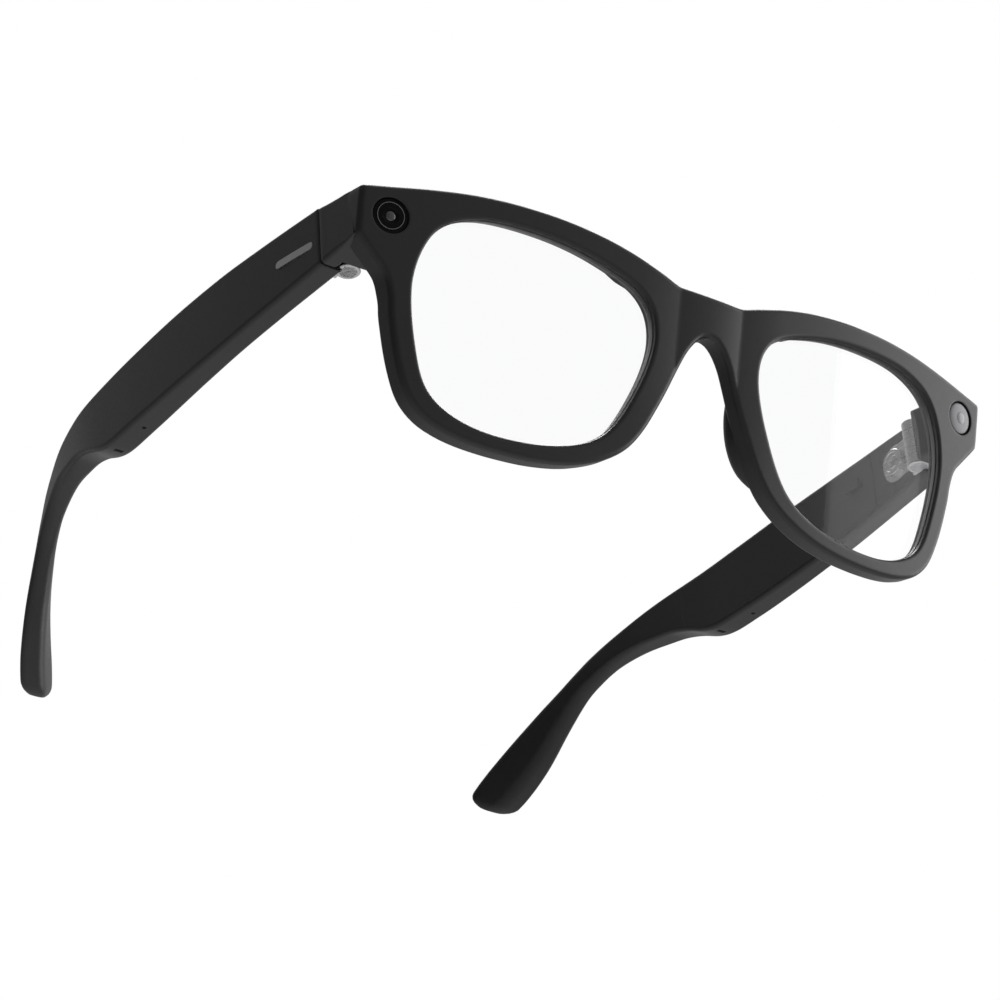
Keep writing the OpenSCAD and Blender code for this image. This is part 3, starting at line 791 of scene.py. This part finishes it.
@dataclass
class EndPiece:
    """The block behind the front that carries the hinge, in the temple's frame.

    Attributes:
        palette: the finishes.
        radius: the rounding of its long edges.
        inner_x: its inner face's distance from the middle.
        step_x: the inner face of the part beside the hinge.
    """

    palette: Palette
    radius: float = 0.9
    inner_x: float = 62.5
    step_x: float = 67.65

    def ring(self, y: float, x0: float, x1: float, z0: float, z1: float) -> list[Vector]:
        """A rounded cross-section of the block at y, sharper towards the front."""
        middle = Vector(((x0 + x1) / 2, (z0 + z1) / 2))
        radius = self.radius * min(max((y + 11.0) / 6.0, 0.3), 1.0)
        return [Vector((middle.x + p.x, y, middle.y + p.y))
                for p in rounded_corners((x1 - x0) / 2, (z1 - z0) / 2, radius)]

    def build(self, side: Side) -> None:
        """Builds the block of one side and puts it in the place of its CAD node."""
        inner, step = self.inner_x, self.step_x
        # y, inner x, outer x, bottom and top of each cross-section
        sections = [(-10.4, inner + 0.5, 70.7, 0.35, 9.6), (-8.6, inner, 70.8, 0.0, 10.15),
                    (-6.0, inner, 70.93, 0.0, 10.86), (-3.4, inner, 71.08, 0.0, 11.52),
                    (-2.64, inner, 71.12, 0.0, 11.7), (-2.6, step, 71.12, 0.0, 11.71),
                    (-1.6, step, 71.2, 0.0, 11.96), (-0.75, step, 71.25, 0.0, 12.16),
                    (-0.5, step + 0.12, 71.14, 0.12, 12.08), (-0.42, step + 0.4, 70.9, 0.36, 11.84)]
        bm = bmesh.new()
        capped_strip(bm, [self.ring(*section) for section in sections])
        piece = new_piece(f"end_block_{side.word}", bm, PLACE.temple(), "front",
                          self.palette["frame_plastic"], "frame_plastic", side, 50)
        even_normals(piece)
        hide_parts(f"endpiece_housing_{side.word}")


# --- Temples ---


@dataclass
class Temple:
    """A temple's shell: a lofted case that holds the electronics and narrows to a bent tip.

    Attributes:
        palette: the finishes.
        front_y: its front end face, from the hinge's axis.
        mouth_radius: the rounding of its corners at that face.
        case_radius: the rounding of its long edges along the case.
        tip_radius: their rounding behind the ear.
        ear_start: where the rounding starts to grow.
        ear_blend: the length over which it grows.
        tip_twist: how far the tip's upper edge leans in, and its lower edge out.
        twist_start: where that lean starts.
        twist_blend: the length over which it grows.
        tip_cap: the length of the rounded end.
        cap_thinning: how much of the end's rounding the thickness takes, against the height.
        rings: how many cross-sections it is lofted through.
    """

    palette: Palette
    front_y: float = -0.25
    mouth_radius: float = 0.8
    case_radius: float = 1.0
    tip_radius: float = 1.9
    ear_start: float = 84.0
    ear_blend: float = 26.0
    tip_twist: float = 1.2
    twist_start: float = 105.0
    twist_blend: float = 25.0
    tip_cap: float = 2.7
    cap_thinning: float = 0.6
    rings: int = 150

    def __post_init__(self) -> None:
        """Draws the two faces in plan, which every cross-section is measured from."""
        self.outer_face, self.inner_face = self.outer(), self.inner()

    def top(self) -> list[Vector]:
        """The upper edge in side view, from the hinge to the tip."""
        points = [(self.front_y, 12.5), (9.4, 13.6), (19.4, 14.6), (29.4, 15.5), (44.4, 16.2), (59.6, 16.3),
                  (74.8, 16.3), (84.9, 16.1), (95.2, 15.0), (105.6, 12.6), (111, 10.1), (116.5, 6.5),
                  (122.4, 2.4), (128.6, -3.0), (134.2, -9.0), (136.2, -11.3)]
        return smooth_line([Vector(p) for p in points], 10)

    def bottom(self) -> list[Vector]:
        """The lower edge in side view, from the hinge to the tip."""
        points = [(self.front_y, 0), (15, 0), (31.6, 0), (51.7, 0.4), (61.7, 0.8), (69, 1.25), (73.9, 2.6),
                  (79.2, 5.2), (83.6, 6.8), (87.9, 7.6), (94, 8.3), (99, 8.1), (103.5, 7.2), (107.5, 5.7),
                  (111.9, 3.2), (117.8, -2.4), (123.6, -8.8), (128.9, -14.0), (130.7, -15.55)]
        return smooth_line([Vector(p) for p in points], 10)

    def outer(self) -> list[Vector]:
        """The outer face in plan: distance back, distance out."""
        points = [(-1, 71.2), (10, 72.1), (20, 72.9), (30, 73.6), (41, 74.2), (51, 74.6), (61, 74.85),
                  (70, 74.85), (77, 74.7), (83, 74.2), (90.5, 73.0), (95.6, 71.9), (100.8, 70.5), (106, 69.0),
                  (111.5, 67.4), (117.2, 65.7), (123, 63.9), (128.8, 61.5), (134, 58.7), (138, 56.6)]
        return smooth_line([Vector(p) for p in points], 4)

    def inner(self) -> list[Vector]:
        """The inner face in plan: distance back, distance out."""
        points = [(-1, 66.35), (10, 67.4), (20, 68.3), (30, 69.0), (41, 69.3), (51, 69.35), (61, 69.3),
                  (70, 69.2), (77, 68.85), (83, 68.4), (90.5, 67.6), (95.6, 66.9), (100.8, 65.9), (106, 64.8),
                  (111.5, 63.2), (117.2, 61.2), (123, 58.9), (128.8, 56.0), (134, 53.0), (138, 51.0)]
        return smooth_line([Vector(p) for p in points], 4)

    def section(self, low: Vector, high: Vector, radius: float, shrink: float = 0.0, ahead: float = 0.0,
                thinning: float = 1.0) -> list[Vector]:
        """A rounded cross-section between the lower and the upper edge.

        Args:
            low: a point on the lower edge, in side view.
            high: the point across from it on the upper edge.
            radius: the corners' radius.
            shrink: how much smaller the section is all round.
            ahead: how far the section is moved along the temple.
            thinning: how much of the shrinking the thickness takes, against the height.

        Returns:
            The section's points.
        """
        across = high - low
        length = across.length
        across.normalize()
        along = Vector((across.y, -across.x))
        middle = (low + high) / 2 + along * ahead
        width = value_at(self.outer_face, middle.x) - value_at(self.inner_face, middle.x)
        twist = self.tip_twist * min(max((middle.x - self.twist_start) / self.twist_blend, 0.0), 1.0)
        thin, tall = width / 2 - shrink * thinning, length / 2 - shrink
        flat = 0.05
        places = []
        for p in rounded_corners(thin, tall, min(radius, thin - flat, tall - flat)):
            side_view = middle + across * p.y
            centre = (value_at(self.outer_face, side_view.x) + value_at(self.inner_face, side_view.x)) / 2
            places.append(Vector((centre - twist * 2 * p.y / length + p.x, side_view.x, side_view.y)))
        return places

    def build(self, side: Side) -> None:
        """Builds one side's shell and puts it in the place of its CAD nodes."""
        top = even_line(self.top(), self.rings)
        bottom = even_line(self.bottom(), self.rings)
        rings = [self.section(bottom[0], top[0], self.mouth_radius, shrink, ahead)
                 for shrink, ahead in ((0.35, 0.0), (0.1, 0.1), (0.0, 0.35))]
        for low, high in zip(bottom[1:], top[1:]):
            share = min(max((low.x - self.ear_start) / self.ear_blend, 0.0), 1.0)
            radius = self.case_radius + (self.tip_radius - self.case_radius) * share**2 * (3 - 2 * share)
            rings.append(self.section(low, high, radius))
        for turn in (math.radians(15 * k) for k in range(1, 7)):
            shrink, ahead = self.tip_cap * (1 - math.cos(turn)), self.tip_cap * math.sin(turn)
            rings.append(self.section(bottom[-1], top[-1], self.tip_radius, shrink, ahead, self.cap_thinning))
        bm = bmesh.new()
        capped_strip(bm, rings)
        piece = new_piece(f"temple_case_{side.word}", bm, PLACE.temple(), f"temple_{side.word}",
                          self.palette["frame_plastic"], "frame_plastic", side, 50)
        even_normals(piece)
        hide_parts(f"temple_shell_{side.word}")


@dataclass
class TempleFittings:
    """What shows on a temple besides its case: inner cover, microphone port, hinge boss and pin's foot.

    Attributes:
        palette: the finishes.
        temple: the case that they sit on.
        cover_front: the inner cover's front end, from the hinge's axis.
        cover_back: its back end.
        cover_steps: how many stretches each of its long edges has.
        cover_slice: how wide the slices are that it is bent by.
        off_points: how far they are shifted, off the outline's own points.
        margin: its distance from the temple's upper and lower edges.
        proud: how far it stands out of the temple's inner face.
        port_y: the microphone port's place, from the hinge's axis.
        port_radius: the port's radius.
        boss_y: the middle of the hinge's boss, from the hinge's axis.
        boss_z: its height above the temple's lower edge.
        boss_stand: the most that it stands off the temple's inner face.
        pin_x: the hinge pin's distance from the middle.
        pin_foot: its foot's height above the temple's lower edge.
        turned_points: how many points a turned piece has round it.
    """

    palette: Palette
    temple: Temple
    cover_front: float = 15.6
    cover_back: float = 79.3
    cover_steps: int = 40
    cover_slice: float = 3.0
    off_points: float = 0.017
    margin: float = 1.0
    proud: float = 0.12
    port_y: float = 60.5
    port_radius: float = 0.42
    boss_y: float = 8.0
    boss_z: float = 6.6
    boss_stand: float = 0.95
    pin_x: float = 65.2
    pin_foot: float = 0.7
    turned_points: int = 40

    def cover_outline(self) -> list[Vector]:
        """The inner cover's edge in side view, anticlockwise."""
        top, bottom = self.temple.top(), self.temple.bottom()
        length = self.cover_back - self.cover_front
        ys = [self.cover_front + length * k / self.cover_steps for k in range(self.cover_steps + 1)]
        low = [Vector((y, value_at(bottom, y) + self.margin)) for y in ys]
        high = [Vector((y, value_at(top, y) - self.margin)) for y in reversed(ys)]
        back = [low[-1].lerp(high[0], k / 6) for k in range(1, 6)]
        front = [high[-1].lerp(low[0], k / 6) for k in range(1, 6)]
        return low + back + high + front

    def cover(self, side: Side) -> None:
        """Builds the thin cover on the temple's inner face."""
        outline = self.cover_outline()
        # Inset and distance off the temple's inner face at each step of the edge
        steps = [(0.0, 0.4), (0.0, 0.05 - self.proud), (0.03, 0.015 - self.proud), (0.09, -self.proud)]
        bm = bmesh.new()
        rings = [[Vector((x, p.x, p.y)) for p in offset_loop(outline, inset)] for inset, x in steps]
        _, face = strip(bm, rings)
        bmesh.ops.triangle_fill(bm, edges=face, use_beauty=True, normal=(-1, 0, 0))
        slice_along(bm, Vector((0, 1, 0)), [self.cover_slice * k + self.off_points for k in range(5, 27)])
        for v in bm.verts:
            v.co.x += value_at(self.temple.inner_face, v.co.y)
        piece = new_piece(f"inner_cover_{side.word}", bm, PLACE.temple(), f"temple_{side.word}",
                          self.palette["frame_plastic"], "frame_plastic", side, 50)
        even_normals(piece)
        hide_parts(f"temple_cover_{side.word}")

    def microphone_port(self, side: Side) -> None:
        """Builds the small dark port under the temple."""
        y = self.port_y
        across = (value_at(self.temple.outer_face, y) + value_at(self.temple.inner_face, y)) / 2
        foot = Vector((across, y, value_at(self.temple.bottom(), y)))
        bm = bmesh.new()
        disc(bm, self.port_radius, -0.5, 0.03, Matrix.Translation(foot) @ Matrix.Rotation(math.pi, 4, "X"),
             0.02, 32)
        new_piece(f"microphone_port_{side.word}", bm, PLACE.temple(), f"temple_{side.word}",
                  self.palette["grille"], "grille", side)

    def hinge_boss(self, side: Side) -> None:
        """Builds the turned cap on the round end of the temple's hinge leaf."""
        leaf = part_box(f"temple_leaf_{side.word}")
        leaf_x = min(abs(leaf[0][0]), abs(leaf[1][0])) / MM
        face_x = max(leaf_x, value_at(self.temple.inner_face, self.boss_y) - self.boss_stand)
        profile = [(2.75, 0.3), (2.75, -0.12), (2.6, -0.24), (2.15, -0.24), (2.0, -0.1), (1.5, -0.06),
                   (1.35, -0.2), (1.1, -0.3), (0.45, -0.36), (0.32, -0.1), (0.02, -0.08)]
        bm = bmesh.new()
        capped_strip(bm, [[Vector((face_x + x, self.boss_y + radius * c, self.boss_z + radius * s))
                           for c, s in circle(self.turned_points)] for radius, x in profile])
        new_piece(f"hinge_boss_{side.word}", bm, PLACE.temple(), f"temple_{side.word}",
                  self.palette["hinge_steel"], "hinge_steel", side, 35)

    def pin_foot_piece(self, name: str, slot: str, profile: list[tuple[float, float]], closed_ends: int,
                       side: Side) -> None:
        """Builds a turned piece at the foot of the hinge pin.

        Args:
            name: the piece's name, without its side.
            slot: its finish and slot.
            profile: radius and height above the pin's foot, from the outside in.
            closed_ends: 1 closes the profile's first ring, and 2 its last ring too.
            side: the side that it is on.
        """
        rings = [[Vector((self.pin_x + radius * c, radius * s, self.pin_foot + z))
                  for c, s in circle(self.turned_points)] for radius, z in profile]
        bm = bmesh.new()
        for end in strip(bm, rings)[:closed_ends]:
            bmesh.ops.contextual_create(bm, geom=end)
        new_piece(f"{name}_{side.word}", bm, PLACE.temple(), f"temple_{side.word}", self.palette[slot],
                  slot, side, 35)

    def pin_foot_pieces(self, side: Side) -> None:
        """Builds the bright collar round the pin's foot, open in the middle, and the dark socket in it."""
        self.pin_foot_piece("pin_collar", "hinge_steel", [
            (2.1, 0.2), (2.1, -0.06), (2.0, -0.14), (1.6, -0.14), (1.5, -0.02), (1.3, -0.02), (1.2, -0.12),
            (0.72, -0.12), (0.64, -0.04), (0.64, 0.2)], 1, side)
        self.pin_foot_piece("pin_socket", "grille", [
            (0.66, 0.15), (0.66, -0.02), (0.3, 0.0), (0.02, 0.0)], 2, side)

    def build(self, side: Side) -> None:
        """Builds every fitting of one side."""
        self.cover(side)
        self.microphone_port(side)
        self.hinge_boss(side)
        self.pin_foot_pieces(side)


# --- Camera and recording light ---


@dataclass
class Eyes:
    """The camera's glass on the wearer's right and the light's lens on the left.

    Attributes:
        palette: the finishes.
        x: their distance from the middle.
        turned_points: how many points a piece has round it.
    """

    palette: Palette
    x: float = 65.0
    turned_points: int = 56

    def at(self) -> Matrix:
        """The left eye's frame, with Z along the front's own normal, out of the surface."""
        turn = Matrix.Rotation(math.asin(self.x / PLACE.curve_radius), 4, "Z")
        return (PLACE.front() @ Matrix.Translation((self.x, PLACE.set_back(self.x), 0)) @ turn
                @ Matrix.Rotation(math.pi / 2, 4, "X"))

    def turned(self, name: str, profile: list[tuple[float, float]], finish: str, side: Side,
               stands_for: str | None = None) -> None:
        """Builds a turned piece.

        Args:
            name: the piece's name.
            profile: radius and height above the surface, from its foot to its middle.
            finish: its finish.
            side: the side that it is on.
            stands_for: the CAD node that it replaces, if any.
        """
        bm = bmesh.new()
        capped_strip(bm, [[Vector((radius * c, radius * s, z)) for c, s in circle(self.turned_points)]
                          for radius, z in profile])
        piece = new_piece(name, bm, self.at(), "front", self.palette[finish], self.palette.slot_of(finish),
                          side, 30)
        if stands_for:
            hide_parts(stands_for)

    def dome(self, radius: float, foot: float, rise: float) -> list[tuple[float, float]]:
        """A shallow dome's profile from its rim to its middle."""
        return [(radius * math.cos(a), foot + rise * math.sin(a))
                for a in (math.radians(7.5 * k) for k in range(12))]

    def camera(self) -> None:
        """Builds the camera's surround, its glass with a domed pupil, and the thin collar between them."""
        surround = [(3.31, -1.2), (3.31, -0.5), (3.2, -0.4), (2.62, -0.34), (2.56, -0.4), (2.56, -1.0)]
        glass = [(2.38, -0.9), (2.38, -0.34), (2.3, -0.26), (1.5, -0.24), (1.42, -0.34), (1.1, -0.42),
                 (1.02, -0.5), (0.05, -0.5)]
        pupil = [(0.98, -0.52)] + self.dome(0.95, -0.5, 0.34)
        collar = [(2.55, -0.9), (2.55, -0.22), (2.51, -0.16), (2.42, -0.16), (2.39, -0.22), (2.39, -0.8)]
        self.turned("camera_surround", surround, "camera_black", Side.RIGHT, "camera_bezel")
        self.turned("camera_glass", glass, "camera_glass", Side.RIGHT, "camera_window")
        self.turned("camera_pupil", pupil, "camera_pupil_glass", Side.RIGHT)
        self.turned("camera_collar", collar, "camera_ring", Side.RIGHT, "camera_ring")

    def light(self) -> None:
        """Builds the light's domed lens and the bead in its middle."""
        lens = [(3.0, -1.0), (3.0, -0.3)] + self.dome(3.0, -0.3, 0.4)
        bead = [(1.3, -0.1)] + self.dome(1.2, 0.0, 0.28)
        self.turned("light_lens", lens, "light_window", Side.LEFT, "light_window")
        self.turned("light_bead", bead, "light_bead", Side.LEFT)

    def build(self) -> None:
        """Builds both eyes."""
        self.camera()
        self.light()


# --- Stage ---


@dataclass
class Stage:
    """The camera, a soft studio and a pale floor well below the glasses.

    Attributes:
        eye: the camera's place in the temple's frame, in millimetres.
        view_deg: its turns about that frame's X, Y and Z.
        lens_mm: its focal length.
        sensor_mm: the width of its film.
        floor_drop: how far below the glasses the floor lies, in metres.
        floor_half: half the floor's side, in metres.
        aim: the point that the lights face, in metres.
        glow_right: the backdrop's light on the glasses from the wearer's right.
        glow_left: its light from the wearer's left.
    """

    eye: tuple[float, float, float] = (-325.975, -392.403, -342.070)
    view_deg: tuple[float, float, float] = (122.0317, 3.4577, -34.3141)
    lens_mm: float = 119.67
    sensor_mm: float = 36.0
    floor_drop: float = 0.75
    floor_half: float = 4.0
    aim: tuple[float, float, float] = (0.0, 0.0, 0.03)
    glow_right: float = 0.12
    glow_left: float = 0.6

    def camera(self) -> None:
        """Sets the camera where it looks up at the glasses from the wearer's right."""
        data = bpy.data.cameras.new("camera")
        data.lens = self.lens_mm
        data.sensor_width = self.sensor_mm
        data.clip_end = 20
        camera = bpy.data.objects.new("camera", data)
        bpy.context.scene.collection.objects.link(camera)
        turn = Euler([math.radians(a) for a in self.view_deg]).to_matrix().to_4x4()
        place = PLACE.temple() @ Matrix.Translation(self.eye) @ turn
        camera.matrix_world = Matrix.LocRotScale(place.to_translation(), place.to_quaternion(), None)
        bpy.context.scene.camera = camera

    def floor(self) -> None:
        """Lays the pale floor."""
        bm = bmesh.new()
        bmesh.ops.create_grid(bm, x_segments=1, y_segments=1, size=self.floor_half)
        bmesh.ops.translate(bm, verts=bm.verts, vec=(0, 0, -self.floor_drop))
        mesh = bpy.data.meshes.new("floor")
        bm.to_mesh(mesh)
        bm.free()
        pale = Nodes("pale_floor")
        pale.set(Base_Color=(0.9, 0.9, 0.9, 1), Roughness=0.9)
        mesh.materials.append(pale.material)
        floor = bpy.data.objects.new("floor", mesh)
        bpy.context.scene.collection.objects.link(floor)

    def light(self, name: str, at: tuple[float, float, float], size: float, watts: float) -> None:
        """Hangs a soft square light that faces the glasses.

        Args:
            name: its name.
            at: its place, in metres.
            size: its side, in metres.
            watts: its power.
        """
        data = bpy.data.lights.new(name, "AREA")
        data.shape = "SQUARE"
        data.size = size
        data.energy = watts
        lamp = bpy.data.objects.new(name, data)
        ray = Vector(self.aim) - Vector(at)
        lamp.matrix_world = Matrix.Translation(at) @ ray.to_track_quat("-Z", "Y").to_matrix().to_4x4()
        bpy.context.scene.collection.objects.link(lamp)

    def world(self) -> None:
        """Makes a white backdrop that lights the glasses less than it looks, and least from the right."""
        world = bpy.data.worlds.new("studio")
        world.use_nodes = True
        tree = world.node_tree
        back = tree.nodes["Background"]
        back.inputs["Color"].default_value = (1, 1, 1, 1)
        path = tree.nodes.new("ShaderNodeLightPath")
        seen = tree.nodes.new("ShaderNodeMath")
        seen.operation = "MAXIMUM"
        tree.links.new(path.outputs["Is Camera Ray"], seen.inputs[0])
        tree.links.new(path.outputs["Is Transmission Ray"], seen.inputs[1])
        where = tree.nodes.new("ShaderNodeTexCoord")
        across = tree.nodes.new("ShaderNodeSeparateXYZ")
        tree.links.new(where.outputs["Generated"], across.inputs["Vector"])
        glow = tree.nodes.new("ShaderNodeMapRange")
        glow.inputs["From Min"].default_value = -1.0
        glow.inputs["From Max"].default_value = 1.0
        glow.inputs["To Min"].default_value = self.glow_right
        glow.inputs["To Max"].default_value = self.glow_left
        tree.links.new(across.outputs["X"], glow.inputs["Value"])
        strength = tree.nodes.new("ShaderNodeMix")
        strength.inputs["B"].default_value = 1.0
        tree.links.new(glow.outputs["Result"], strength.inputs["A"])
        tree.links.new(seen.outputs["Value"], strength.inputs["Factor"])
        tree.links.new(strength.outputs["Result"], back.inputs["Strength"])
        bpy.context.scene.world = world

    def build(self) -> None:
        """Builds the whole stage."""
        self.camera()
        self.floor()
        self.world()
        self.light("left_box", (0.93, -0.33, 0.25), 0.9, 5)
        self.light("top_box", (0.35, 0.25, 0.88), 0.8, 9)
        bpy.context.scene.view_settings.view_transform = "Standard"


def main() -> None:
    """Builds the glasses piece by piece."""
    logging.basicConfig(level=logging.INFO, format="%(name)s: %(message)s")
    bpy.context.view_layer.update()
    palette = Palette().build()
    palette.dress_frame()
    Front(palette).build()
    pad = NosePad(palette)
    for side in Side:
        pad.build(side)
    end, temple = EndPiece(palette), Temple(palette)
    fittings = TempleFittings(palette, temple)
    for side in Side:
        end.build(side)
        temple.build(side)
        fittings.build(side)
    Eyes(palette).build()
    Stage().build()


if __name__ == "__main__":
    main()
